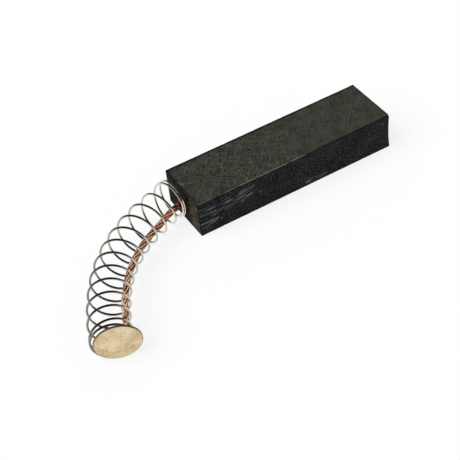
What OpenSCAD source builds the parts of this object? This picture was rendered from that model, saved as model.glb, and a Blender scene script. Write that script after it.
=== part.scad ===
// Carbon brush: a pressed carbon block, a coil spring and a flat contact disc, tied
// together by a stranded copper lead that is tamped into the block and soldered to the
// disc. The block lies flat, and the spring lies beside it, bent by the taut lead.
// Origin: middle of the block's underside. +X: towards the running face. +Z: up.

/* [Carbon block] */
// Length of the block, running face to spring end
block_l = 35; // [25:0.5:45]
// Width of the block
block_w = 10; // [8:0.5:14]
// Height of the block
block_h = 6.4; // [5.5:0.1:9]
// Bevel along the four long edges
edge_bevel = 0.2; // [0.1:0.05:0.6]
// Radius that the commutator has worn into the running face
commutator_r = 26; // [10:1:60]
// Depth of the chip at the upper near corner of the running face
chip_depth = 0.3; // [0.1:0.05:0.8]
// Diameter of the hole that the lead is tamped into
lead_hole_d = 2.2; // [1.9:0.1:3]
// Depth of the lead's hole to its drilled shoulder
lead_hole_depth = 7; // [4:0.5:12]
// Depth of the dished mouth of the tamped copper
tamp_dish = 0.15; // [0.05:0.05:0.4]

/* [Spring] */
// Outer diameter of the coil
spring_od = 6.5; // [5:0.1:7.5]
// Diameter of the spring wire
wire_d = 0.34; // [0.25:0.01:0.5]
// Turns that stand open between the end turns
open_turns = 11.35; // [7:0.05:15]
// Turns that are wound close at each end
closed_turns = 1.25; // [1:0.25:2]
// Distance from the lead's hole to the middle of the first end turn
seat_side = 1.95; // [0:0.05:2.3]
// Distance from the lead's hole to the middle of the open coil
coil_side = 1.45; // [0.5:0.05:2.2]
// Angle at which the first turn leans off the block's face
seat_lean = 7.5; // [0:0.5:12]

/* [Bend of the spring] */
// Length of the sharp bend next to the block
near_l = 5.8; // [3:0.1:8]
// Angle turned in the sharp bend
near_turn = 15.5; // [5:0.5:30]
// Length of the middle bend
mid_l = 14.9; // [8:0.1:20]
// Angle turned in the middle bend
mid_turn = 34; // [10:0.5:45]
// Length of the slack bend next to the disc
far_l = 10; // [6:0.1:16]
// Angle turned in the slack bend
far_turn = 15; // [5:0.5:30]

/* [Lead] */
// Diameter of the stranded lead
lead_d = 1.1; // [0.8:0.05:1.5]
// Length in which a strand goes once round the lead
lay_l = 9; // [6:0.5:15]
// Length of lead held in the block
held_l = 6; // [3:0.5:9]
// Length in which it moves from its hole to the inside of the coil
hug_l = 7; // [4:0.5:10]
// Length in which it turns in from the coil to its solder
leave_l = 3.5; // [2:0.5:6]

/* [Contact disc] */
// Diameter of the disc
disc_d = 7; // [6:0.1:9]
// Thickness of the disc
disc_t = 0.3; // [0.2:0.05:1]
// Rounding of the outer edge where the disc was punched
punch_r = 0.1; // [0.05:0.05:0.2]
// Sideways step from the coil's axis to the disc's middle
disc_side = 0.75; // [0:0.05:1.2]
// Angle at which the disc leans, outer face downwards
disc_lean = 5; // [0:0.5:8]
// Diameter of the solder on the back of the disc
solder_d = 2; // [1.6:0.1:2.8]
// Height of the solder over the back of the disc
solder_h = 0.8; // [0.5:0.05:1.3]
// Thickness of the solder's rim, and of its collar round the lead
solder_rim = 0.1; // [0.05:0.05:0.2]

/* [Fits] */
// Gap between neighbouring strands
strand_gap = 0.02; // [0.01:0.005:0.05]
// Gap between the lead and what it passes through
lead_gap = 0.05; // [0.02:0.01:0.2]
// Gap between the spring and the faces it seats on
seat_gap = 0.02; // [0.01:0.01:0.1]
// Gap between the solder and the end turn round it
solder_gap = 0.05; // [0.02:0.01:0.2]

/* [Hidden] */

$fn = 96;
eps = 0.01;
outer_strands = 6;
wire_sides = 10;
wire_rings_a_turn = 18;
strand_sides = 6;
lead_step = 0.75;
drill_point = 118;

end_x = -block_l / 2;
hole_z = block_h / 2;
coil_r = (spring_od - wire_d) / 2;
coil_z = spring_od / 2 + seat_gap;
lead_r = lead_d / 2;
lay_r = lead_d / 3;
strand_r = lead_d / 6 - strand_gap / 2;
hug_side = coil_r - wire_d / 2 - lead_r - lead_gap;
end_side = coil_r - wire_d / 2 - solder_gap - solder_d / 2;
// The leaning disc stands on the rounding of its outer edge
disc_z = (disc_d / 2 - punch_r) * cos(disc_lean) + (disc_t - punch_r) * sin(disc_lean)
    + punch_r;
// Height of the disc's middle above the coil's, measured along the disc
disc_rise = (disc_z - coil_z) / cos(disc_lean);

// --- Axis of the spring: three tangent arcs in the plane of the table ---------------

// Each arc is [length, angle turned]
bend = [[near_l, near_turn], [mid_l, mid_turn], [far_l, far_turn]];
axis_l = near_l + mid_l + far_l;
start_heading = 180 + seat_lean;
seat_x = end_x - seat_gap - wire_d / 2 - coil_r * sin(seat_lean);

// Place and heading after a distance along the arcs, as [x, y, heading]
function along(s, from = [seat_x, coil_side, start_heading], part = 0) =
    let (
        last = part == len(bend) - 1,
        l = last ? s : min(s, bend[part][0]),
        r = bend[part][0] / (bend[part][1] * PI / 180),
        a = from[2],
        b = a + bend[part][1] * l / bend[part][0],
        here = [from[0] + r * (sin(b) - sin(a)), from[1] - r * (cos(b) - cos(a)), b]
    )
    last || s <= bend[part][0] ? here : along(s - l, here, part + 1);

// A point beside the axis: towards the inside of the bend, at height z
function beside(s, inward, z) =
    let (at = along(s)) [at[0] - inward * sin(at[2]), at[1] + inward * cos(at[2]), z];

// Eases from 0 to 1 as x goes from 0 to 1
function ease(x) = let (t = min(max(x, 0), 1)) t * t * (3 - 2 * t);

// --- Round wires along a path -------------------------------------------------------

function unit(v) = v / norm(v);
function path_heading(path, i) =
    unit(path[min(i + 1, len(path) - 1)] - path[max(i - 1, 0)]);

// One ring of a wire: sides points round a centre, the first one facing out
function ring(centre, heading, out, r, sides) =
    let (side = unit(out - heading * (heading * out)), rise = cross(heading, side))
    [for (k = [0 : sides - 1])
        centre + r * (cos(360 * k / sides) * side + sin(360 * k / sides) * rise)];

// A closed round wire along path; outs gives a direction square to it at each point
module wire(path, outs, r, sides) {
    last = len(path) - 1;
    rings = [for (i = [0 : last]) ring(path[i], path_heading(path, i), outs[i], r, sides)];
    walls = [
        for (i = [0 : last - 1], k = [0 : sides - 1])
            let (a = i * sides + k, b = i * sides + (k + 1) % sides)
                each [[a, a + sides, b + sides], [a, b + sides, b]]
    ];
    start_cap = [for (k = [0 : sides - 1]) k];
    end_cap = [for (k = [sides - 1 : -1 : 0]) last * sides + k];
    polyhedron([for (points = rings) each points], concat(walls, [start_cap, end_cap]));
}

// --- Carbon block -------------------------------------------------------------------

// The drilled hole for the lead, on the block's end, opening towards -X
module lead_hole() {
    tip = lead_hole_d / 2 / tan(drill_point / 2);
    translate([end_x, 0, hole_z]) rotate([0, 90, 0]) {
        cylinder(d = lead_hole_d, h = lead_hole_depth);
        translate([0, 0, lead_hole_depth]) cylinder(d1 = lead_hole_d, d2 = 0, h = tip);
    }
}

module block_outline() {
    w = block_w / 2;
    b = edge_bevel;
    polygon([
        [-w + b, 0], [w - b, 0], [w, b], [w, block_h - b],
        [w - b, block_h], [-w + b, block_h], [-w, block_h - b], [-w, b]
    ]);
}

module carbon_block() {
    half_h = block_h / 2;
    commutator_x = block_l / 2 + sqrt(commutator_r * commutator_r - half_h * half_h);
    color([0.19, 0.19, 0.17]) difference() {
        translate([end_x, 0, 0]) rotate([90, 0, 90]) linear_extrude(block_l) block_outline();
        lead_hole();
        translate([commutator_x, 0, half_h]) rotate([90, 0, 0])
            cylinder(r = commutator_r, h = 2 * block_w, center = true, $fn = 360);
        translate([block_l / 2, -block_w / 2, block_h]) rotate([0, atan(sqrt(2)), -45])
            translate([0, 0, -chip_depth]) cylinder(d = block_h, h = block_h);
    }
}

// Copper powder rammed round the lead: it fills the hole and has a dished mouth
module tamped_copper() {
    hole_r = lead_hole_d / 2;
    dish_r = (hole_r * hole_r + tamp_dish * tamp_dish) / (2 * tamp_dish);
    color([0.34, 0.16, 0.1]) difference() {
        lead_hole();
        translate([end_x - eps, 0, hole_z]) rotate([0, 90, 0])
            cylinder(r = lead_r + strand_gap, h = held_l + lead_gap + eps);
        translate([end_x - dish_r + tamp_dish, 0, hole_z]) sphere(r = dish_r);
    }
}

// --- Spring -------------------------------------------------------------------------

// Angle of the wire's free end, from the top of the first turn and away from the lead
first_angle = 204;

// Area under a pitch that climbs from 0 to 1 over a quarter turn and then stays 1
opening_turn = 0.25;
function climb(x) =
    x <= 0 ? 0 : x < opening_turn ? x * x / (2 * opening_turn) : x - opening_turn / 2;

closed_pitch = wire_d * 1.08;
open_pitch = (axis_l - 2 * closed_turns * closed_pitch) / open_turns;
all_turns = open_turns + 2 * closed_turns;

// Distance along the axis after a number of turns from the block
function wound(turns) = closed_pitch * turns
    + (open_pitch - closed_pitch)
    * (climb(turns - closed_turns) - climb(turns - closed_turns - open_turns));

// The first end turn sits a little further from the lead than the open coil does
module spring() {
    steps = ceil(all_turns * wire_rings_a_turn);
    turns = [for (i = [0 : steps]) all_turns * i / steps];
    outs = [for (n = turns)
        let (heading = along(wound(n))[2], a = first_angle + 360 * n)
            [sin(heading) * sin(a), -cos(heading) * sin(a), cos(a)]];
    path = [for (i = [0 : steps])
        let (n = turns[i], opened = ease((n - closed_turns) / 1.5))
            beside(wound(n), (coil_side - seat_side) * (1 - opened), coil_z)
                + coil_r * outs[i]];
    color([0.72, 0.72, 0.7]) wire(path, outs, wire_d / 2, wire_sides);
}

// --- Contact disc and its solder ----------------------------------------------------

// Places what is drawn with +Z outwards on the middle of the disc's back face
module on_disc() {
    heading = along(axis_l)[2];
    off_coil = wire_d / 2 + seat_gap + disc_d / 2 * sin(disc_lean);
    translate(beside(axis_l, disc_side, disc_z) + off_coil * [cos(heading), sin(heading), 0])
        rotate([0, 90 + disc_lean, heading]) children();
}

module contact_disc() {
    r = disc_d / 2;
    color([0.83, 0.74, 0.55]) on_disc() rotate_extrude() {
        square([r - punch_r, disc_t]);
        square([r, disc_t - punch_r]);
        translate([r - punch_r, disc_t - punch_r]) intersection() {
            circle(punch_r);
            square(punch_r);
        }
    }
}

// A fillet of solder round the end of the lead, with a bore that follows the lead
module solder_joint() {
    foot_r = solder_d / 2;
    neck_r = lead_r + lead_gap + solder_rim;
    fillet = [for (a = [0 : 15 : 90])
        [foot_r - (foot_r - neck_r) * sin(a), solder_h - (solder_h - solder_rim) * cos(a)]];
    color([0.75, 0.74, 0.7]) difference() {
        on_disc() translate([disc_rise, end_side - disc_side, 0]) mirror([0, 0, 1])
            rotate_extrude() polygon(concat([[0, 0], [foot_r, 0]], fillet, [[0, solder_h]]));
        translate(lead_point(lead_end)) rotate([0, 90, along(axis_l)[2]])
            cylinder(r = lead_r + lead_gap, h = 4 * solder_h, center = true);
    }
}

// --- Lead ---------------------------------------------------------------------------

// The lead runs straight out of its hole, hugs the inside of the bend, and then turns
// in to the solder, where its square end clears the leaning disc
lead_end = axis_l + wire_d / 2 + seat_gap + disc_d / 2 * sin(disc_lean)
    - (disc_rise + lead_r) * sin(disc_lean) - lead_gap;

function lead_point(s) =
    let (
        hugging = ease(s / hug_l),
        leaving = ease((s - lead_end + leave_l) / leave_l),
        inward = coil_side + (hug_side - coil_side) * hugging + (end_side - hug_side) * leaving
    )
    beside(s, inward, hole_z + (coil_z - hole_z) * hugging);

held_steps = ceil(held_l / lead_step);
free_steps = ceil(lead_end / lead_step);
lead_path = [
    for (i = [held_steps : -1 : 1]) [end_x + held_l * i / held_steps, 0, hole_z],
    for (i = [1 : free_steps]) lead_point(lead_end * i / free_steps)
];

module strand(centre_r, start_angle) {
    last = len(lead_path) - 1;
    outs = [for (i = [0 : last])
        let (
            heading = path_heading(lead_path, i),
            side = unit(cross(heading, [0, 0, 1])),
            a = start_angle + 360 * i * lead_step / lay_l
        )
        cos(a) * cross(side, heading) + sin(a) * side];
    path = [for (i = [0 : last]) lead_path[i] + centre_r * outs[i]];
    color([0.72, 0.42, 0.27]) wire(path, outs, strand_r, strand_sides);
}

module core_strand() { strand(0, 0); }
module lead_strand(number) { strand(lay_r, 360 * number / outer_strands); }

carbon_block();
tamped_copper();
spring();
contact_disc();
solder_joint();
core_strand();
lead_strand(1);  // lead_strand_1
lead_strand(2);  // lead_strand_2
lead_strand(3);  // lead_strand_3
lead_strand(4);  // lead_strand_4
lead_strand(5);  // lead_strand_5
lead_strand(6);  // lead_strand_6
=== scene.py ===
import math
import random

import bmesh
import bpy
import numpy as np
from mathutils import Matrix, Vector, noise


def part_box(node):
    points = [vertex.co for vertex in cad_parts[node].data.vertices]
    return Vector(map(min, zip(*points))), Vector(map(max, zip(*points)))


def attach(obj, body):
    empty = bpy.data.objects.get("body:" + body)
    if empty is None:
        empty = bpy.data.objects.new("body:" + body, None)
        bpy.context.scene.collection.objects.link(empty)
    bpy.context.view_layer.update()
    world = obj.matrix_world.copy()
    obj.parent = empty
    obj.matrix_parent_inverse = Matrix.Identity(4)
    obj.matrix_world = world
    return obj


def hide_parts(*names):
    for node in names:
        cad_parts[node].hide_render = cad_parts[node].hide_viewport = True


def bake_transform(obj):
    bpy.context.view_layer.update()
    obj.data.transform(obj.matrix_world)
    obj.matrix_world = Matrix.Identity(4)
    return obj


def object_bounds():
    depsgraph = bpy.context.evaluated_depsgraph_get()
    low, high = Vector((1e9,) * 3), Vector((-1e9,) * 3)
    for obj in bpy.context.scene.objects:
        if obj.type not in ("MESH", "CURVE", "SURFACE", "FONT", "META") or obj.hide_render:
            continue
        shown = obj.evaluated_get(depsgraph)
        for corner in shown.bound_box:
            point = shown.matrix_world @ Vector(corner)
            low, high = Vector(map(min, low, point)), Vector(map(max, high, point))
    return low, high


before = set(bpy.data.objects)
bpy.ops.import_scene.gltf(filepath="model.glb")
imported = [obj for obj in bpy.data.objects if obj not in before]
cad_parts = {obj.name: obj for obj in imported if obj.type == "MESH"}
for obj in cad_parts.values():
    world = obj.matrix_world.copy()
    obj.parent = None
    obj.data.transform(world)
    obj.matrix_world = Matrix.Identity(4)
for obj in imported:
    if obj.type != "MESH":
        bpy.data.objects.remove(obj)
cad_low, cad_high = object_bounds()
mm = 0.001

# --- Carbon block ---------------------------------------------------------------------
# The working part of the brush: graphite and coke powder pressed to a bar, baked hard
# and ground to size. Its running face is worn hollow by the commutator, and its other
# end is drilled for the lead.

block_low, block_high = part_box("carbon_block")
block_half = (block_high - block_low) / 2
end_x = block_low.x
hole_z = (block_low.z + block_high.z) / 2
edge_r = 0.15 * mm
commutator_r = 26 * mm
chip_depth = 0.32 * mm
crumble_h = 0.05 * mm
crumble_size = 0.25 * mm
wave_h = 0.006 * mm
wave_size = 2.5 * mm
ripple_h = 0.004 * mm
ripple_size = 0.6 * mm
edge_nicks = 60
nick_reach = (0.12 * mm, 0.24 * mm)
nick_share = (0.1, 0.2)
fine_step = 0.1 * mm
long_step = 0.13 * mm
wide_step = 0.3 * mm
crease = math.radians(40)

lead_hole_d = 2.2 * mm
lead_hole_depth = 7 * mm
drill_point = math.radians(118)
drill_sides = 64
pole_r = 0.0001 * mm
merge_gap = 0.001 * mm

# The ground top and bottom, the pressed sides, darkened partly by painted shade, and the drilled end:
# dark, light and bits
ground_dark = (0.015, 0.0155, 0.011, 1)
ground_light = (0.078, 0.078, 0.063, 1)
ground_bits = (0.17, 0.17, 0.15, 1)
pressed_shade_dark = (0.003, 0.003, 0.0032, 1)
pressed_shade_light = (0.046, 0.046, 0.048, 1)
pressed_shade_bits = (0.1, 0.1, 0.103, 1)
end_face_dark = (0.005, 0.0035, 0.0025, 1)
end_face_light = (0.082, 0.07, 0.054, 1)
round_hole_brown = (0.028, 0.009, 0.006, 1)
near_end_brown = (0.04, 0.028, 0.024, 1)
groove_black = (0.001, 0.001, 0.0012, 1)
streak_sheen_grey = (0.28, 0.285, 0.32, 1)
mark_grey = (0.24, 0.24, 0.24, 1)
shaded_black = (0.005, 0.005, 0.004, 1)
wear_and_highlight_grey = (0.22, 0.22, 0.2, 1)
pit_black = (0.004, 0.004, 0.004, 1)

# Places in millimetres. A rub patch has its middle, its reach and its lean
rub_patches = [(-16.2, 3.3, 2.6, 2.6, 0.05), (-11.2, 4.2, 4, 1.4, 0.06), (3.4, 0.9, 2.4, 0.5, 0.02)]
side_scratches = [((-10.7, 4.5), (-8.7, 5)), ((-8.7, 5), (-7.6, 5.2)), ((-17.3, 2.2), (-15.2, 2.5))]
side_specks = [(-9.75, 3.1), (-6.7, 3.4), (-13.7, 1.8), (16.1, 5.2)]
top_scratches = [((-8.6, -4.7), (-8.3, -3.3)), ((-7.4, -3.1), (-8.4, -4.4))]
top_specks = [(-6.8, 4.2), (-7.9, 1.5)]
top_scuff_highlight = ((-17.3, 1.3), (-16.9, 0.4))


def ground_lines(low, high, step):
    """Places of the lattice lines from low to high, close together next to both edges."""
    near = [edge_r * share for share in (0, 0.35, 0.7, 1)]
    near += [edge_r + fine_step * count for count in (1, 2, 3, 4)]
    spaces = math.ceil((high - low - 2 * near[-1]) / step)
    middle = np.linspace(low + near[-1], high - near[-1], spaces + 1)[1:-1]
    return [low + place for place in near] + list(middle) + [high - place for place in reversed(near)]


def box_skin(lines):
    """Lattice places on a box's six sides, as points and outward quads."""
    seen = {}
    quads = []
    last = [len(axis_lines) - 1 for axis_lines in lines]
    for across in range(3):
        first, second = (across + 1) % 3, (across + 2) % 3
        for side in (0, last[across]):
            for i in range(last[first]):
                for j in range(last[second]):
                    quad = []
                    for step_i, step_j in ((0, 0), (1, 0), (1, 1), (0, 1)):
                        place = [0, 0, 0]
                        place[across] = side
                        place[first] = i + step_i
                        place[second] = j + step_j
                        quad.append(seen.setdefault(tuple(place), len(seen)))
                    quads.append(quad if side else quad[::-1])
    points = np.array([[lines[axis][place[axis]] for axis in range(3)] for place in seen])
    return points, quads


def uneven(points, size, seed):
    """Seeded noise from -1 to 1 at each point, with features of about that size."""
    shift = Vector((seed, 2 * seed, 3 * seed))
    return np.array([noise.noise(Vector(point) / size + shift) for point in points])


def nick_edges(points):
    """Knocks small seeded nicks into the block's twelve edges."""
    dice = random.Random(31)
    middle = np.array((block_low + block_high) / 2)
    half = np.array(block_half)
    for _ in range(edge_nicks):
        along = dice.choices((0, 1, 2), weights=(5, 2, 1))[0]
        corner = np.array([dice.choice((-1.0, 1.0)) for _ in range(3)])
        centre = middle + half * corner
        centre[along] = middle[along] + half[along] * dice.uniform(-1, 1)
        inward = -corner
        inward[along] = 0
        reach = dice.uniform(*nick_reach)
        depth = reach * dice.uniform(*nick_share)
        share = 1 - np.sum((points - centre) ** 2, axis=1) / reach**2
        points += np.outer(np.clip(share, 0, 1) * depth, inward / math.sqrt(2))


def chip_corner(points):
    """Breaks the near top corner off the running face, and leaves it crumbled."""
    corner = np.array([block_high.x, block_low.y, block_high.z])
    outward = np.array([1, -1, 1]) / math.sqrt(3)
    crumbled = crumble_h * uneven(points, crumble_size, 7)
    proud = (points - corner) @ outward + chip_depth + crumbled
    points -= np.outer(np.clip(proud, 0, None), outward)


def ground_block():
    """The block's points and quads: rounded edges, hollow running face, nicks, chip and waves."""
    steps = (long_step, wide_step, wide_step)
    points, quads = box_skin([ground_lines(block_low[i], block_high[i], steps[i]) for i in range(3)])
    inner = np.clip(points, np.array(block_low) + edge_r, np.array(block_high) - edge_r)
    outward = points - inner
    points = inner + outward / np.linalg.norm(outward, axis=1)[:, None] * edge_r
    rise = np.clip(points[:, 2] - hole_z, -block_half.z, block_half.z)
    hollow = np.sqrt(commutator_r**2 - rise**2) - math.sqrt(commutator_r**2 - block_half.z**2)
    points[:, 0] -= hollow * np.clip((points[:, 0] - block_high.x) / mm + 1, 0, 1)
    nick_edges(points)
    chip_corner(points)
    waves = wave_h * (uneven(points, wave_size, 3) - 1) + ripple_h * (uneven(points, ripple_size, 5) - 1)
    points += (points - inner) / edge_r * waves[:, None]
    return points, quads


def new_piece(name, points, faces):
    """An object at the origin with a mesh of these points and faces, shaded smooth."""
    mesh = bpy.data.meshes.new(name)
    mesh.from_pydata([tuple(point) for point in points], [], faces)
    mesh.polygons.foreach_set("use_smooth", [True] * len(mesh.polygons))
    mesh.update()
    piece = bpy.data.objects.new(name, mesh)
    bpy.context.scene.collection.objects.link(piece)
    return piece


def turned_piece(name, profile, sides, place=None):
    """A profile of (radius, height) pairs turned about Z and placed, with seam and poles merged."""
    points = []
    faces = []
    for r, height in profile:
        for k in range(sides):
            angle = 2 * math.pi * k / sides
            points.append((r * math.cos(angle), r * math.sin(angle), height))
    for row in range(len(profile) - 1):
        for k in range(sides):
            a, b = row * sides + k, row * sides + (k + 1) % sides
            faces.append((a, b, b + sides, a + sides))
    piece = new_piece(name, points, faces)
    if place is not None:
        piece.data.transform(place)
    shell = bmesh.new()
    shell.from_mesh(piece.data)
    bmesh.ops.remove_doubles(shell, verts=shell.verts, dist=merge_gap)
    bmesh.ops.recalc_face_normals(shell, faces=shell.faces)
    shell.to_mesh(piece.data)
    shell.free()
    return piece


def settle(piece):
    """Turns a piece's modifiers into a plain mesh."""
    bpy.context.view_layer.update()
    seen = piece.evaluated_get(bpy.context.evaluated_depsgraph_get())
    mesh = bpy.data.meshes.new_from_object(seen)
    piece.modifiers.clear()
    piece.data = mesh


def bore(piece, drill):
    """Cuts a drill's shape out of a piece, and takes the drill away."""
    cut = piece.modifiers.new("bore", "BOOLEAN")
    cut.operation = "DIFFERENCE"
    cut.object = drill
    settle(piece)
    bpy.data.objects.remove(drill)


class Field:
    """A value over a surface or along a path. Arithmetic on it adds Math nodes to its tree."""

    def __init__(self, tree, socket=None):
        self.tree = tree
        self.socket = socket

    def node(self, kind, settings=None, sockets=None, output=0):
        """Adds any other node: its settings first, then the values and links of its sockets."""
        made = self.tree.nodes.new(kind)
        for name, value in (settings or {}).items():
            setattr(made, name, value)
        for place, value in (sockets or {}).items():
            if isinstance(value, Field):
                self.tree.links.new(value.socket, made.inputs[place])
            else:
                made.inputs[place].default_value = value
        if isinstance(output, tuple):
            return [Field(self.tree, made.outputs[place]) for place in output]
        return Field(self.tree, made.outputs[output])

    def maths(self, operation, *values):
        return self.node("ShaderNodeMath", {"operation": operation}, dict(enumerate(values)))

    def __add__(self, other):
        return self.maths("ADD", self, other)

    __radd__ = __add__

    def __sub__(self, other):
        return self.maths("SUBTRACT", self, other)

    def __rsub__(self, other):
        return self.maths("SUBTRACT", other, self)

    def __mul__(self, other):
        return self.maths("MULTIPLY", self, other)

    __rmul__ = __mul__

    def __truediv__(self, other):
        return self.maths("DIVIDE", self, other)

    def __abs__(self):
        return self.maths("ABSOLUTE", self)

    def root(self):
        return self.maths("SQRT", self)

    def floor(self):
        return self.maths("FLOOR", self)

    def fraction(self):
        return self.maths("FRACT", self)

    def sine(self):
        return self.maths("SINE", self)

    def cosine(self):
        return self.maths("COSINE", self)

    def vector(self, operation, sockets=None, output=0):
        """Vector Math on this vector; sockets holds the other inputs."""
        settings = {"operation": operation}
        return self.node("ShaderNodeVectorMath", settings, {0: self, **(sockets or {})}, output)

    def least(self, other):
        return self.maths("MINIMUM", self, other)

    def most(self, other):
        return self.maths("MAXIMUM", self, other)

    def wobble(self, width):
        """Noise from 0 to 1, centred on 0 and stretched to that width."""
        return (self - 0.5) * width

    def eased(self, start, end):
        """Runs smoothly from 0 where the value is start to 1 where it is end."""
        return self.node(
            "ShaderNodeMapRange",
            {"interpolation_type": "SMOOTHSTEP"},
            {"Value": self, "From Min": start, "From Max": end},
        )

    def tint(self, colour, other):
        """Mixes two colours by this value: colour at 0 and other at 1."""
        return self.node("ShaderNodeMix", {"data_type": "RGBA"}, {0: self, 6: colour, 7: other}, 2)

    def noise(self, scale, detail=3, roughness=0.5):
        """Noise from 0 to 1 over this vector."""
        sockets = {"Vector": self, "Scale": scale, "Detail": detail, "Roughness": roughness}
        return self.node("ShaderNodeTexNoise", None, sockets)

    def turned(self, rotation, scale):
        """Turns the axes of a pattern and stretches it along them, to features of that scale."""
        sockets = {"Vector": self, "Rotation": rotation, "Scale": scale}
        return self.node("ShaderNodeMapping", {"vector_type": "TEXTURE"}, sockets)


def new_finish(name, constants):
    """A material, its Principled shader with these constants, and its place in millimetres."""
    material = bpy.data.materials.new(name)
    material.use_nodes = True
    shader = material.node_tree.nodes["Principled BSDF"]
    for socket, value in constants.items():
        shader.inputs[socket].default_value = value
    here = Field(material.node_tree)
    place = here.node("ShaderNodeTexCoord", None, None, "Object")
    return material, shader, place.vector("SCALE", {"Scale": 1 / mm})


def feed(shader, **fields):
    """Links fields into the shader's sockets; an underscore stands for a space."""
    for name, field in fields.items():
        field.tree.links.new(field.socket, shader.inputs[name.replace("_", " ")])


def bumped(height, distance):
    """A normal bent by a height field; distance is the height of a step of 1, in metres."""
    return height.node("ShaderNodeBump", None, {"Strength": 1.0, "Distance": distance, "Height": height})


def facing(place):
    """The three parts of the surface's outward direction."""
    side = place.node("ShaderNodeNewGeometry", None, None, "Normal")
    return side.node("ShaderNodeSeparateXYZ", None, {0: side}, (0, 1, 2))


def strongest(fields):
    """The largest of several values at each place."""
    best = fields[0]
    for field in fields[1:]:
        best = best.most(field)
    return best


def scratch(across, up, start, end, half_width):
    """1 along a scratch from start to end in two coordinates, fading to 0 at its sides."""
    run, rise = end[0] - start[0], end[1] - start[1]
    length = math.hypot(run, rise)
    share = ((across - start[0]) * run + (up - start[1]) * rise) / length**2
    share = share.most(0).least(1)
    off_across = across - start[0] - share * run
    off_up = up - start[1] - share * rise
    apart = off_across * off_across + off_up * off_up
    return apart.eased(half_width**2, 0)


def speck(across, up, middle, half_width):
    """A small spot, drawn as a very short scratch."""
    return scratch(across, up, (middle[0] - 0.03, middle[1]), middle, half_width)


def edge_depth(x, y, z):
    """Depth from the nearest edge: the middle one of those from the three pairs of faces."""
    half_l, half_w, half_h = (block_half / mm)[:]
    from_end = half_l - abs(x)
    from_side = half_w - abs(y)
    from_top = half_h - abs(z - half_h)
    smaller = from_end.least(from_side)
    larger = from_end.most(from_side)
    return smaller.most(larger.least(from_top))


def rubbed_lines(place, x, z, near_side):
    """Long thin lines in the rub patches of the near side: pale polished streaks, with painted sheen in
    their colour, and dark grooves.
    """
    patches = []
    for patch_x, patch_z, reach_x, reach_z, lean in rub_patches:
        off_x = (x - patch_x) / reach_x
        off_z = (z - patch_z - (x - patch_x) * lean) / reach_z
        patches.append((1 - (off_x * off_x + off_z * off_z)).eased(0, 0.5))
    rub = strongest(patches) * near_side
    lines = place.turned((0, -0.13, 0), (2.6, 1, 0.09)).noise(1, 0)
    more_lines = place.turned((0, -0.05, 0), (3.4, 1, 0.1)).noise(1, 0)
    polished_sheen_streaks = lines.eased(0.62, 0.7).most(more_lines.eased(0.64, 0.72)) * rub
    grooves = lines.eased(0.45, 0.35).most(more_lines.eased(0.4, 0.3)) * rub
    return polished_sheen_streaks, grooves


def single_marks(x, y, z, near_side, top):
    """Scratches and pale specks, plain on the near side and faint on the top."""
    marks = [scratch(x, z, start, end, 0.14) * near_side for start, end in side_scratches]
    marks += [scratch(x, y, start, end, 0.13) * top * 0.3 for start, end in top_scratches]
    marks += [speck(x, z, middle, 0.2) * near_side for middle in side_specks]
    # A scuff on the top, pale partly as a painted highlight
    marks.append(scratch(x, y, *top_scuff_highlight, 0.3) * top * 0.35)
    marks += [speck(x, y, middle, 0.25) * top * 0.45 for middle in top_specks]
    return strongest(marks)


def drilled_end_colour(y, z, grain, coarse, spots):
    """The drilled end's colour: mottled brown, nearly black round the hole and at the back."""
    half_h = block_half.z / mm
    from_hole = (y * y + (z - half_h) * (z - half_h)).root() + coarse.wobble(1.2)
    # Nearly black towards the back of the end face
    dark_end = (y + coarse.wobble(1.5)).eased(-2.6, -1.2)
    tone = 0.52 + spots.wobble(3.5) + grain.wobble(1.2) - dark_end * 0.5
    mottled_end = tone.eased(0, 1).tint(end_face_dark, end_face_light)
    return from_hole.eased(2.4, 1.2).tint(mottled_end, round_hole_brown)


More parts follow.
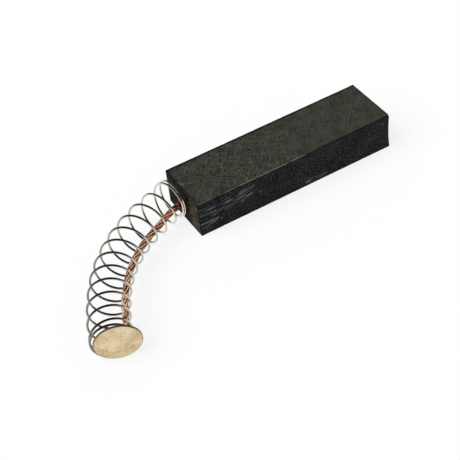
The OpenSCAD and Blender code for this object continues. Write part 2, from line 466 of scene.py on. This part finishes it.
def carbon_finish():
    """Ground electrographite: olive-black on the ground faces, blue-black on the sides, which painted
    shade keeps darker than the top.
    """
    material, shader, place = new_finish("carbon", {"Specular IOR Level": 0.04})
    half_l, half_w = (block_half / mm)[:2]
    x, y, z = place.node("ShaderNodeSeparateXYZ", None, {0: place}, (0, 1, 2))
    side_x, side_y, side_z = facing(place)
    pressed = abs(side_y).eased(0.5, 0.8)
    near_side = side_y.eased(-0.5, -0.8)
    top = side_z.eased(0.5, 0.8)
    lead_end_face = side_x.eased(-0.5, -0.8)

    grain = place.noise(6, 2, 0.7)
    flecks = place.noise(4, 1)
    clouds = place.noise(0.5, 3, 0.6)
    coarse = place.noise(1.5, 2, 0.6)
    bits = place.noise(3.6, 1)
    pits = place.noise(2.4, 1).eased(0.3, 0.24)
    spots = place.turned((0, 0, 0), (1, 1.3, 0.45)).noise(1, 3, 0.7)
    polished_sheen_streaks, grooves = rubbed_lines(place, x, z, near_side)
    marks = single_marks(x, y, z, near_side, top)

    # Crossed grinding marks on the top, plainest towards the lead's end
    hatch_a = place.turned((0, 0, 0.9), (1.1, 0.15, 1)).noise(1, 1).eased(0.45, 0.75)
    hatch_b = place.turned((0, 0, -0.75), (1.1, 0.15, 1)).noise(1, 1).eased(0.45, 0.75)
    hatched = (hatch_a.most(hatch_b) - 0.4) * top
    rough_end = x.eased(7, -7) * 0.6 + 0.4
    tone = 0.47 + grain.wobble(1.2) * rough_end + flecks.wobble(0.7) * rough_end + clouds.wobble(0.6)
    tone = tone + rough_end * 0.06 + hatched * 0.55 * rough_end
    ground = tone.eased(0, 1).tint(ground_dark, ground_light)
    ground = (bits.eased(0.68, 0.75) * 0.5).tint(ground, ground_bits)

    # The pressed sides: a blue-black skin, with painted shade that keeps them darker than the top and
    # bottom
    tone = 0.44 + grain.wobble(2.5) + flecks.wobble(2.5) + clouds.wobble(1.2)
    sides = tone.eased(0, 1).tint(pressed_shade_dark, pressed_shade_light)
    sides = (bits.eased(0.6, 0.68) * 0.7).tint(sides, pressed_shade_bits)
    colour = pressed.tint(ground, sides)

    near_end = (x + half_l + spots.wobble(3)).eased(1.8, 0) * top
    colour = (near_end * 0.45).tint(colour, near_end_brown)
    colour = lead_end_face.tint(colour, drilled_end_colour(y, z, grain, coarse, spots))

    # Edges: pale along the near top edge, partly wear and partly a painted highlight, and dark elsewhere
    # from painted shade, most of all at the back
    edge = edge_depth(x, y, z)
    wear_and_highlight = (edge + grain.wobble(0.25) + (1 - side_z.eased(0.2, 0.5)) * 0.2).eased(0.26, 0.06)
    wear_and_highlight = wear_and_highlight * (clouds + coarse * 0.6).eased(0.5, 0.8) * (1 - lead_end_face)
    wear_and_highlight = wear_and_highlight * x.eased(5, -1) * (1 - x.eased(-9, -15) * 0.5) * (y + half_w).eased(0.45, 0.2)
    shaded = (edge + coarse.wobble(0.15)).eased(0.34, 0.08)
    shaded = shaded.most((y + coarse.wobble(0.4)).eased(half_w - 0.65, half_w - 0.3) * top)
    shaded = shaded * (y.eased(half_w - 1, half_w) * 0.3 + 0.65)

    colour = (grooves * 0.9).tint(colour, groove_black)
    # Painted sheen: the polished streaks are made pale in the colour itself
    colour = (polished_sheen_streaks * 0.9).tint(colour, streak_sheen_grey)
    colour = (marks * 0.55).tint(colour, mark_grey)
    colour = shaded.tint(colour, shaded_black)
    # Wear and a painted highlight along the near top edge
    colour = (wear_and_highlight * 0.65).tint(colour, wear_and_highlight_grey)
    colour = (pits * 0.8).tint(colour, pit_black)
    roughness = 0.66 + grain.wobble(0.3) - polished_sheen_streaks * 0.2 - wear_and_highlight * 0.12
    height = grain * 0.6 + flecks * 0.4 - pits * 1.2 - grooves * 0.5 - marks * 0.3 + hatched * 0.5
    feed(shader, Base_Color=colour, Roughness=roughness, Normal=bumped(height, 0.025 * mm))
    return material


carbon_block = new_piece("ground_carbon_block", *ground_block())
into_hole = Matrix.Translation((end_x, 0, hole_z)) @ Matrix.Rotation(math.pi / 2, 4, "Y")
drill_r = lead_hole_d / 2
drill_tip = lead_hole_depth + drill_r / math.tan(drill_point / 2)
drill_profile = [(pole_r, -mm), (drill_r, -mm), (drill_r, 0)]
drill_profile += [(drill_r, lead_hole_depth), (pole_r, drill_tip)]
bore(carbon_block, turned_piece("drill", drill_profile, drill_sides, into_hole))
carbon_block.data.set_sharp_from_angle(angle=crease)
carbon_block.data.materials.clear()
carbon_block.data.materials.append(carbon_finish())
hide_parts("carbon_block")
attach(carbon_block, "block")

# --- Tamped copper --------------------------------------------------------------------
# Copper powder, rammed round the lead with a hollow punch until it holds. It fills the
# drilled hole and ends in a shallow, grainy dish.

lead_d = 1.1 * mm
held_l = 6 * mm
tamp_dish = 0.15 * mm
tamp_gap = 0.01 * mm
grip_gap = 0.02 * mm
tamp_r = lead_hole_d / 2 - tamp_gap
grip_r = lead_d / 2 + grip_gap
grain_h = 0.05 * mm
grain_size = 0.14 * mm
dish_rings = 12
tamped_sides = 96
soft_crease = math.radians(50)
powder_brown = (0.022, 0.009, 0.006, 1)
powder_copper = (0.17, 0.062, 0.035, 1)
bright_grain = (0.55, 0.27, 0.16, 1)


def tamped_finish():
    """Rammed copper powder, browned by heat, with a few bright grains."""
    material, shader, place = new_finish("tamped_copper", {"Specular IOR Level": 0.4})
    grains = place.noise(9, 3, 0.7)
    browned = place.noise(2.2, 2)
    tone = grains * 0.7 + browned * 0.5 - 0.1
    colour = tone.eased(0.25, 0.75).tint(powder_brown, powder_copper)
    bright = grains.eased(0.62, 0.72)
    colour = bright.tint(colour, bright_grain)
    feed(shader, Base_Color=colour, Metallic=bright * 0.8 + 0.15, Roughness=0.72 - bright * 0.3)
    feed(shader, Normal=bumped(grains, 0.05 * mm))
    return material


mouth = [grip_r + (tamp_r - grip_r) * i / dish_rings for i in range(dish_rings + 1)]
tamped_profile = [(grip_r, held_l)]
tamped_profile += [(r, tamp_dish * (1 - (r / tamp_r) ** 2)) for r in mouth]
tamped_profile += [(tamp_r, held_l), (grip_r, held_l)]
tamped = turned_piece("tamped_copper_plug", tamped_profile, tamped_sides, into_hole)
for point in tamped.data.vertices:
    off_middle = math.hypot(point.co.y, point.co.z - hole_z)
    if point.co.x < end_x + 2 * tamp_dish and grip_r * 1.02 < off_middle < tamp_r * 0.98:
        point.co.x += grain_h * abs(noise.noise(point.co / grain_size))
tamped.data.set_sharp_from_angle(angle=soft_crease)
tamped.data.materials.append(tamped_finish())
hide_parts("tamped_copper")
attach(tamped, "block")

# --- Stranded lead --------------------------------------------------------------------
# Bare annealed copper rope: seven strands of seven fine wires, laid the other way round
# in each strand. It is tamped into the block, and pulls the spring into its bend.

rope_strands = 7
strand_wires = 7
wire_sides = 6
lay_l = 9 * mm
wire_lay_l = 5.5 * mm
strand_gap = 0.02 * mm
strand_r = lead_d / 6 - strand_gap / 2
stain_and_shade_brown = (0.1, 0.018, 0.006, 1)
copper_orange = (1, 0.58, 0.33, 1)
copper_highlight_pale = (1, 0.84, 0.62, 1)

# The spring's axis, which the lead follows: three arcs, each with its length and its turn
spring_od = 6.5 * mm
wire_d = 0.34 * mm
coil_r = (spring_od - wire_d) / 2
seat_gap = 0.02 * mm
seat_lean = math.radians(7.5)
coil_side = 1.45 * mm
coil_z = spring_od / 2 + seat_gap
bend = [
    (5.8 * mm, math.radians(15.5)),
    (14.9 * mm, math.radians(34)),
    (10 * mm, math.radians(15)),
]
axis_l = sum(length for length, turn in bend)
axis_start = (end_x - seat_gap - wire_d / 2 - coil_r * math.sin(seat_lean), coil_side, math.pi + seat_lean)

# Where the disc stands, on its rounded edge and leaning back on the spring
disc_d = 7 * mm
disc_t = 0.3 * mm
punch_r = 0.1 * mm
disc_side = 0.75 * mm
disc_lean = math.radians(5)
disc_z = (disc_d / 2 - punch_r) * math.cos(disc_lean) + (disc_t - punch_r) * math.sin(disc_lean) + punch_r
disc_rise = (disc_z - coil_z) / math.cos(disc_lean)
off_coil = wire_d / 2 + seat_gap + disc_d / 2 * math.sin(disc_lean)

# The lead's way inside the coil, to the solder on the disc's back
solder_d = 2 * mm
lead_gap = 0.05 * mm
hug_l = 7 * mm
leave_l = 3.5 * mm
hug_side = coil_r - wire_d / 2 - lead_d / 2 - lead_gap
end_side = coil_r - wire_d / 2 - lead_gap - solder_d / 2
lead_end = axis_l + off_coil - (disc_rise + lead_d / 2) * math.sin(disc_lean) - lead_gap
held_steps = 20
free_steps = 110


def along(distance):
    """Place and heading on the spring's axis, a distance from the block."""
    x, y, heading = axis_start
    for count, (length, turn) in enumerate(bend):
        part = distance if count == len(bend) - 1 else min(distance, length)
        swung = heading + turn * part / length
        x += length / turn * (math.sin(swung) - math.sin(heading))
        y -= length / turn * (math.cos(swung) - math.cos(heading))
        heading = swung
        distance -= part
    return x, y, heading


def beside(distance, inward, height):
    """A point beside the axis, towards the inside of the bend."""
    x, y, heading = along(distance)
    return Vector((x - inward * math.sin(heading), y + inward * math.cos(heading), height))


def ease(share):
    """Runs smoothly from 0 to 1 as share does."""
    share = min(max(share, 0), 1)
    return share * share * (3 - 2 * share)


def lead_point(distance):
    """The lead's middle: from its hole to the inside of the bend, and in to the solder."""
    hugging = ease(distance / hug_l)
    leaving = ease((distance - lead_end + leave_l) / leave_l)
    inward = coil_side + (hug_side - coil_side) * hugging + (end_side - hug_side) * leaving
    return beside(distance, inward, hole_z + (coil_z - hole_z) * hugging)


def path_tree(name, sizes):
    """A tree that takes a path and named sizes, with the path as a curve and the sizes."""
    tree = bpy.data.node_groups.new(name, "GeometryNodeTree")
    tree.interface.new_socket("Path", in_out="INPUT", socket_type="NodeSocketGeometry")
    for size in sizes:
        tree.interface.new_socket(size, in_out="INPUT", socket_type="NodeSocketFloat")
    tree.interface.new_socket("Mesh", in_out="OUTPUT", socket_type="NodeSocketGeometry")
    here = Field(tree)
    fields = here.node("NodeGroupInput", None, None, tuple(range(len(sizes) + 1)))
    return tree, here.node("GeometryNodeMeshToCurve", None, {0: fields[0]}), fields[1:]


def end_tree(mesh, material):
    """Ends a tree in plain geometry with its material."""
    real = mesh.node("GeometryNodeRealizeInstances", None, {0: mesh})
    set_material = real.node("GeometryNodeSetMaterial", None, {0: real, "Material": material})
    real.node("NodeGroupOutput", None, {0: set_material}, ())


def run_tree(name, tree, path, sizes):
    """Runs a tree on a path, and keeps the result as a plain mesh."""
    piece = new_piece(name, path, [])
    piece.data.edges.add(len(path) - 1)
    for count, edge in enumerate(piece.data.edges):
        edge.vertices = (count, count + 1)
    modifier = piece.modifiers.new(name, "NODES")
    modifier.node_group = tree
    sockets = {s.name: s.identifier for s in tree.interface.items_tree if s.in_out == "INPUT"}
    for size, value in sizes.items():
        modifier[sockets[size]] = value
    settle(piece)
    piece.data.polygons.foreach_set("use_smooth", [True] * len(piece.data.polygons))
    return piece


def off_path(heading, rise, swing):
    """The way off a path with that heading, square to it: up by rise and level by swing."""
    level = heading.vector("CROSS_PRODUCT", {1: (0, 0, 1)}).vector("NORMALIZE")
    raised = level.vector("CROSS_PRODUCT", {1: heading}).vector("SCALE", {"Scale": rise})
    return raised.vector("ADD", {1: level.vector("SCALE", {"Scale": swing})})


def with_value(mesh, name, field):
    """Keeps a field on the points of a mesh or curve, for its material."""
    sockets = {0: mesh, "Name": name, "Value": field}
    return mesh.node("GeometryNodeStoreNamedAttribute", {"data_type": "FLOAT", "domain": "POINT"}, sockets)


def kept_value(place, name):
    """Reads in a material what with_value kept."""
    return place.node("ShaderNodeAttribute", {"attribute_name": name}, None, "Fac")


def round_wire(curve, radius, sides):
    """A closed round wire along a curve."""
    rim = curve.node("GeometryNodeCurvePrimitiveCircle", None, {"Resolution": sides, "Radius": radius})
    return curve.node("GeometryNodeCurveToMesh", None, {0: curve, 1: rim, "Fill Caps": True})


def rope_tree(material):
    """Fine wires in strands, and strands in a rope, along the path."""
    names = ["Strand Circle", "Wire Circle", "Wire Radius", "Lay", "Wire Lay"]
    tree, route, sizes = path_tree("rope", names)
    strand_circle, wire_circle, wire_r, lay, wire_lay = sizes
    amount = {0: route, "Amount": rope_strands * strand_wires}
    copies, copy = route.node("GeometryNodeDuplicateElements", {"domain": "SPLINE"}, amount, (0, 1))
    distance = route.node("GeometryNodeSplineParameter", None, None, "Length")
    strand = (copy / strand_wires).floor()
    wire = copy - strand * strand_wires
    off_core = strand.least(1) * strand_circle
    off_strand = wire.least(1) * wire_circle
    turn = strand * (2 * math.pi / (rope_strands - 1)) + distance / lay * (2 * math.pi)
    wire_turn = wire * (2 * math.pi / (strand_wires - 1)) - distance / wire_lay * (2 * math.pi)
    rise = off_core * turn.cosine() + off_strand * wire_turn.cosine()
    swing = off_core * turn.sine() + off_strand * wire_turn.sine()
    offset = off_path(route.node("GeometryNodeInputTangent"), rise, swing)
    laid = copies.node("GeometryNodeSetPosition", None, {0: copies, "Offset": offset})
    rim = strand_circle + wire_circle
    laid = with_value(laid, "wire", copy)
    laid = with_value(laid, "outer", (rise * rise + swing * swing) / (rim * rim))
    laid = with_value(laid, "along", distance / route.node("GeometryNodeCurveLength", None, {0: route}))
    end_tree(round_wire(laid, wire_r, wire_sides), material)
    return tree


def strand_finish():
    """Annealed copper: orange-pink with random stains, painted shade in its grooves and underneath, dark
    brown at the block, and painted highlights near the disc.
    """
    constants = {"Specular IOR Level": 0.25, "Roughness": 0.42}
    material, shader, place = new_finish("copper_wire", constants)
    copy = kept_value(place, "wire")
    outer = kept_value(place, "outer")
    along_lead = kept_value(place, "along")
    side_z = facing(place)[2]
    shade = (copy * 0.618).fraction()
    strand_shade = ((copy / strand_wires).floor() * 0.382).fraction()
    stain = place.noise(2.1, 2, 0.6)
    fine = place.noise(5, 2, 0.6)
    # Painted highlights near the disc: brighter, with more contrast, and pale on the highest tones
    bright = along_lead.eased(0.3, 0.9)
    # Painted shade in the grooves between strands, from each wire's depth in the rope
    tone = outer.eased(0.5, 0.85) * 0.85 + shade * 0.15 + (strand_shade - 0.4) * 0.6
    tone = tone + stain.wobble(2.2) + fine.wobble(0.7) + bright * 0.4
    tone = (tone - 0.6) * (bright * 1.1 + 1) + 0.62
    # Painted shade underneath, and dark brown at the block
    tone = tone * side_z.eased(-1, 0.2) - along_lead.eased(0.3, 0.16) * 1.1
    colour = tone.eased(0, 1).tint(stain_and_shade_brown, copper_orange)
    colour = (bright * tone.eased(0.75, 1.2)).tint(colour, copper_highlight_pale)
    feed(shader, Base_Color=colour, Metallic=0.25 + stain.wobble(0.2) - bright * 0.2)
    feed(shader, Normal=bumped(fine, 0.01 * mm))
    return material


held_path = [Vector((end_x + held_l * (1 - i / held_steps), 0, hole_z)) for i in range(held_steps)]
free_path = [lead_point(lead_end * i / free_steps) for i in range(1, free_steps + 1)]
lead = run_tree(
    "stranded_copper_lead",
    rope_tree(strand_finish()),
    held_path + free_path,
    {
        "Strand Circle": lead_d / 3,
        "Wire Circle": strand_r * 2 / 3,
        "Wire Radius": strand_r / 3,
        "Lay": lay_l,
        "Wire Lay": wire_lay_l,
    },
)
disc_at = beside(axis_l, disc_side, disc_z)
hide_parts("core_strand", *["lead_strand_" + str(number) for number in range(1, 7)])
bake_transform(lead)

# --- Coil spring ----------------------------------------------------------------------
# Hard-drawn stainless wire, wound open with a turn and a quarter closed at each end. It
# slips over the lead and pushes between the block and the disc.

open_turns = 11.35
closed_turns = 1.25
closed_pitch = wire_d * 1.08
opening_turn = 0.25
settling_turns = 1.5
seat_side = 1.95 * mm
first_angle = math.radians(204)
coil_inside = 0.025 * mm
axis_steps = 240
rings_a_turn = 56
spring_sides = 14
skin_dark = (0.2, 0.195, 0.175, 1)
skin_light = (0.38, 0.37, 0.34, 1)
level_arc_reflection_black = (0.06, 0.06, 0.05, 1)
outer_side_highlight = (0.85, 0.85, 0.72, 1)
rubbed_and_highlight_steel = (0.85, 0.78, 0.74, 1)
first_turns_highlight = (0.92, 0.9, 0.78, 1)


def climbed(turns, opening):
    """Area under a pitch that climbs from 0 to 1 over the opening turn, and then stays 1."""
    part = turns.most(0).least(opening)
    return part * part / opening * 0.5 + (turns - opening).most(0)


def coil_tree(material):
    """A helix round the path, closed at both ends and open between them."""
    names = ["Coil Radius", "Wire Radius", "Open Turns", "Closed Turns", "Opening Turn"]
    names += ["Closed Pitch", "Open Pitch", "First Angle", "Seat Step", "Rings"]
    tree, axis, sizes = path_tree("coil", names)
    radius, wire_r, opened, closed, opening, closed_by, open_by, first, seat_step, rings = sizes
    line = axis.node("GeometryNodeMeshLine", {"mode": "OFFSET"}, {"Count": rings + 1})
    line = line.node("GeometryNodeMeshToCurve", None, {0: line})
    count = axis.node("GeometryNodeInputIndex")
    turns = count / rings * (opened + closed * 2)
    climbing = climbed(turns - closed, opening) - climbed(turns - closed - opened, opening)
    wound = closed_by * turns + (open_by - closed_by) * climbing
    settings = {"mode": "LENGTH", "use_all_curves": False}
    sockets = {"Curves": axis, "Length": wound}
    centre, heading = axis.node("GeometryNodeSampleCurve", settings, sockets, (1, 2))
    angle = first + turns * (2 * math.pi)
    seated = 1 - ((turns - closed) / settling_turns).eased(0, 1)
    swing = radius * angle.sine() - seat_step * seated
    position = centre.vector("ADD", {1: off_path(heading, radius * angle.cosine(), swing)})
    bent = line.node("GeometryNodeSetPosition", None, {0: line, "Position": position})
    bent = with_value(bent, "turns", turns)
    bent = with_value(bent, "inner", 0 - angle.sine())
    end_tree(round_wire(bent, wire_r, spring_sides), material)
    return tree


def spring_finish():
    """Drawn wire with painted reflections: black on its level arcs, pale on its outer side over the first
    turns, pale towards the inside of the bend, where it also rubs, and paler in its first turns.
    """
    material, shader, place = new_finish("spring_wire", {"Specular IOR Level": 0.5})
    turns = kept_value(place, "turns")
    inner = kept_value(place, "inner")
    skin = place.noise(1.6, 3, 0.6)
    fine = place.noise(16, 2, 0.6)
    colour = (skin * 0.8 + fine * 0.4).eased(0.4, 0.85).tint(skin_dark, skin_light)
    # Painted dark reflection on the level arcs
    colour = (abs(inner).eased(0.8, 0.3) * 0.6).tint(colour, level_arc_reflection_black)
    # Painted highlight on the outer side of the first turns
    colour = (inner.eased(-0.6, -1) * turns.eased(9, 4) * 0.5).tint(colour, outer_side_highlight)
    # Pale towards the inside of the bend: wear where it rubs the lead, and a painted highlight
    colour = (inner.eased(0, 1) * 0.55).tint(colour, rubbed_and_highlight_steel)
    # Painted highlight on the first turns
    colour = (turns.eased(4.5, 1) * 0.6).tint(colour, first_turns_highlight)
    feed(shader, Base_Color=colour, Roughness=0.05 + fine * 0.1, Metallic=0.92 + skin * 0.08)
    feed(shader, Normal=bumped(fine, 0.006 * mm))
    return material


all_turns = open_turns + 2 * closed_turns
spring = run_tree(
    "coil_spring",
    coil_tree(spring_finish()),
    [beside(axis_l * i / axis_steps, 0, coil_z) for i in range(axis_steps + 1)],
    {
        "Coil Radius": coil_r - coil_inside,
        "Wire Radius": wire_d / 2,
        "Open Turns": open_turns,
        "Closed Turns": closed_turns,
        "Opening Turn": opening_turn,
        "Closed Pitch": closed_pitch,
        "Open Pitch": (axis_l - 2 * closed_turns * closed_pitch) / open_turns,
        "First Angle": first_angle,
        "Seat Step": coil_side - seat_side,
        "Rings": math.ceil(all_turns * rings_a_turn),
    },
)
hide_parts("spring")
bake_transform(spring)

# --- Contact disc ---------------------------------------------------------------------
# A flat brass cap, punched from sheet with its outer edge drawn round. It presses on
# the terminal in the brush holder, and has dulled unevenly with handling.

disc_inside = 0.005 * mm
disc_r = disc_d / 2 - disc_inside
back_edge = 0.02 * mm
dent_h = 0.012 * mm
dent_size = 1.1 * mm
disc_rings = 24
disc_sides = 144
rounding_steps = 6
brass_dark = (0.57, 0.4, 0.17, 1)
brass_light = (0.95, 0.82, 0.55, 1)
brass_pink = (0.86, 0.68, 0.46, 1)
rim_reflection_brown = (0.16, 0.11, 0.05, 1)
disc_heading = along(axis_l)[2]
disc_back = disc_at + off_coil * Vector((math.cos(disc_heading), math.sin(disc_heading), 0))
on_disc = (
    Matrix.Translation(disc_back)
    @ Matrix.Rotation(disc_heading, 4, "Z")
    @ Matrix.Rotation(math.pi / 2 + disc_lean, 4, "Y")
)


def brass_finish():
    """Dulled brass sheet: pale straw, clouded and finely speckled, with a painted dark reflection at its
    rim.
    """
    material, shader, place = new_finish("brass_sheet", {"Specular IOR Level": 0.5})
    rim_r = disc_d / 2 / mm
    centred = place.vector("ADD", {1: tuple(-value / mm for value in disc_back)})
    reach = centred.vector("LENGTH", output="Value")
    clouds = place.noise(0.42, 2)
    mottle = place.noise(2.4, 4, 0.65)
    specks = place.noise(9, 2, 0.6)
    pink = place.noise(0.7, 2).eased(0.45, 0.65)
    rim = (reach + mottle.wobble(0.08)).eased(rim_r - 0.17, rim_r - 0.06)
    tone = clouds.wobble(1.6) + mottle.wobble(1.2) + specks.wobble(0.9) + 0.44
    colour = tone.eased(0, 1).tint(brass_dark, brass_light)
    colour = (pink * 0.5).tint(colour, brass_pink)
    # Painted dark reflection along the rounded rim
    colour = (rim * 0.8).tint(colour, rim_reflection_brown)
    roughness = 0.42 + mottle.wobble(0.3)
    feed(shader, Base_Color=colour, Roughness=roughness, Metallic=0.85 - mottle * 0.2)
    feed(shader, Normal=bumped(mottle * 0.7 + specks * 0.3, 0.015 * mm))
    return material


flat_r = disc_r - punch_r
disc_profile = [(pole_r, 0)] + [(disc_r * i / disc_rings, 0) for i in range(1, disc_rings)]
disc_profile += [(disc_r - back_edge, 0), (disc_r, back_edge)]
for i in range(rounding_steps + 1):
    angle = math.pi / 2 * i / rounding_steps
    disc_profile.append((flat_r + punch_r * math.cos(angle), disc_t - punch_r + punch_r * math.sin(angle)))
disc_profile += [(flat_r * i / disc_rings, disc_t) for i in range(disc_rings - 1, 0, -1)]
disc_profile.append((pole_r, disc_t))
disc = turned_piece("contact_disc_cap", disc_profile, disc_sides)
for point in disc.data.vertices:
    if math.hypot(point.co.x, point.co.y) < flat_r and point.co.z > disc_t / 2:
        point.co.z -= dent_h * (1 + noise.noise(point.co / dent_size))
disc.data.transform(on_disc)
disc.data.set_sharp_from_angle(angle=crease)
disc.data.materials.append(brass_finish())
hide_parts("contact_disc")
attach(disc, "disc")

# --- Solder joint ---------------------------------------------------------------------
# Soft solder run round the end of the lead, on the back of the disc. It draws up the
# wires in a hollow fillet.

solder_h = 0.8 * mm
solder_rim = 0.1 * mm
solder_hole_r = lead_d / 2 + lead_gap
foot_r = solder_d / 2
neck_r = solder_hole_r + solder_rim
fillet_steps = 18
solder_sides = 64
solder_dull = (0.42, 0.42, 0.41, 1)
solder_silver = (0.74, 0.74, 0.72, 1)


def solder_finish():
    """Soft solder: dull silver, frosted where it froze."""
    material, shader, place = new_finish("solder", {"Specular IOR Level": 0.5})
    frost = place.noise(4, 3, 0.6)
    colour = frost.eased(0.35, 0.7).tint(solder_dull, solder_silver)
    feed(shader, Base_Color=colour, Roughness=0.25 + frost * 0.35, Metallic=0.85 + frost * 0.1)
    feed(shader, Normal=bumped(frost, 0.02 * mm))
    return material


solder_profile = [(pole_r, 0), (foot_r, 0)]
for i in range(fillet_steps + 1):
    angle = math.pi / 2 * i / fillet_steps
    fillet_r = foot_r - (foot_r - neck_r) * math.sin(angle)
    solder_profile.append((fillet_r, solder_h - (solder_h - solder_rim) * math.cos(angle)))
solder_profile.append((pole_r, solder_h))
on_back = Matrix.Translation((disc_rise, end_side - disc_side, 0)) @ Matrix.Scale(-1, 4, (0, 0, 1))
solder = turned_piece("solder_fillet", solder_profile, solder_sides, on_disc @ on_back)
lead_profile = [(pole_r, -mm), (solder_hole_r, -mm), (solder_hole_r, mm), (pole_r, mm)]
on_lead = (
    Matrix.Translation(lead_point(lead_end))
    @ Matrix.Rotation(disc_heading, 4, "Z")
    @ Matrix.Rotation(math.pi / 2, 4, "Y")
)
bore(solder, turned_piece("lead_drill", lead_profile, solder_sides, on_lead))
solder.data.set_sharp_from_angle(angle=soft_crease)
solder.data.materials.append(solder_finish())
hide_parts("solder_joint")
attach(solder, "disc")

# --- Table and studio -----------------------------------------------------------------
# A plain white table that goes on out of sight, one big soft lamp up on the left, and
# a white room that mirrors dark overhead.

table_reach = 3
table_gap = 0.02 * mm
table_grey = (0.62, 0.62, 0.62, 1)
white = (1, 1, 1, 1)
table_glow = 0.8
room_light = 0.45
overhead_light = 0.02
lamp_from = Vector((-0.62, 0.1, 0.78))


def ray_kinds(here):
    """1 for rays from the camera, for mirrored rays and for rays seen through a piece."""
    kinds = ("Is Camera Ray", "Is Glossy Ray", "Is Transmission Ray")
    return here.node("ShaderNodeLightPath", None, None, kinds)


def mixed(share, shader, other):
    """One shader where share is 0, and the other where it is 1."""
    return shader.node("ShaderNodeMixShader", None, {0: share, 1: shader, 2: other})


def table_finish():
    """Grey enough to light the brush plainly, and white to look at and in mirrors."""
    material = bpy.data.materials.new("table")
    material.use_nodes = True
    material.node_tree.nodes.clear()
    here = Field(material.node_tree)
    camera_ray, mirror_ray, through_ray = ray_kinds(here)
    plain = here.node("ShaderNodeBsdfDiffuse", None, {"Color": table_grey})
    chalk = here.node("ShaderNodeBsdfDiffuse", None, {"Color": white})
    glow = here.node("ShaderNodeEmission", None, {"Color": white, "Strength": 1.0})
    shown = mixed(camera_ray.most(mirror_ray).most(through_ray), plain, mixed(table_glow, chalk, glow))
    here.node("ShaderNodeOutputMaterial", None, {"Surface": shown}, ())
    return material


def studio_room():
    """White to look at, dim as a light, and dark overhead in mirrors."""
    room = bpy.data.worlds.new("room")
    room.use_nodes = True
    room.node_tree.nodes.clear()
    here = Field(room.node_tree)
    camera_ray, mirror_ray, through_ray = ray_kinds(here)
    soft, bright, dim = [
        here.node("ShaderNodeBackground", None, {"Color": white, "Strength": strength})
        for strength in (room_light, 1.0, overhead_light)
    ]
    towards = here.node("ShaderNodeTexCoord", None, None, "Generated")
    height = towards.node("ShaderNodeSeparateXYZ", None, {0: towards}, "Z")
    mirrored = mixed(height.eased(0, 0.12), bright, dim)
    shown = mixed(camera_ray, mixed(mirror_ray.most(through_ray), soft, mirrored), bright)
    here.node("ShaderNodeOutputWorld", None, {"Surface": shown}, ())
    return room


table_corners = [(x * table_reach, y * table_reach, 0) for x, y in ((-1, -1), (1, -1), (1, 1), (-1, 1))]
table = new_piece("table", table_corners, [(0, 1, 2, 3)])
table.data.transform(Matrix.Translation((0, 0, cad_low.z - table_gap)))
table.data.materials.append(table_finish())
bpy.context.scene.world = studio_room()

lamp = bpy.data.lights.new("soft_lamp", "SUN")
lamp.energy = 2.2
lamp.angle = math.radians(50)
lamp_object = bpy.data.objects.new("soft_lamp", lamp)
lamp_object.rotation_euler = lamp_from.to_track_quat("Z", "Y").to_euler()
lamp_object.visible_glossy = False
bpy.context.scene.collection.objects.link(lamp_object)

# --- Camera ---------------------------------------------------------------------------
# It looks down on the table from the spring's side, and is tilted a little.

look_azimuth = math.radians(-25.92)
look_height = math.radians(43.62)
look_roll = math.radians(-7.28)
look_distance = 190 * mm
look_at = Vector((-13.29 * mm, -6.29 * mm, 0))
back = Vector((
    math.sin(look_azimuth) * math.cos(look_height),
    -math.cos(look_azimuth) * math.cos(look_height),
    math.sin(look_height),
))
right = Vector((math.cos(look_azimuth), math.sin(look_azimuth), 0))
camera = bpy.data.cameras.new("camera")
camera.sensor_width = 36
camera.lens = 97.9
camera.clip_start = 10 * mm
camera_object = bpy.data.objects.new("camera", camera)
level = Matrix((right, back.cross(right), back)).transposed().to_4x4()
camera_object.matrix_world = Matrix.Translation(look_at + back * look_distance) @ level
camera_object.matrix_world = camera_object.matrix_world @ Matrix.Rotation(look_roll, 4, "Z")
bpy.context.scene.collection.objects.link(camera_object)
bpy.context.scene.camera = camera_object
bpy.context.scene.view_settings.view_transform = "Standard"
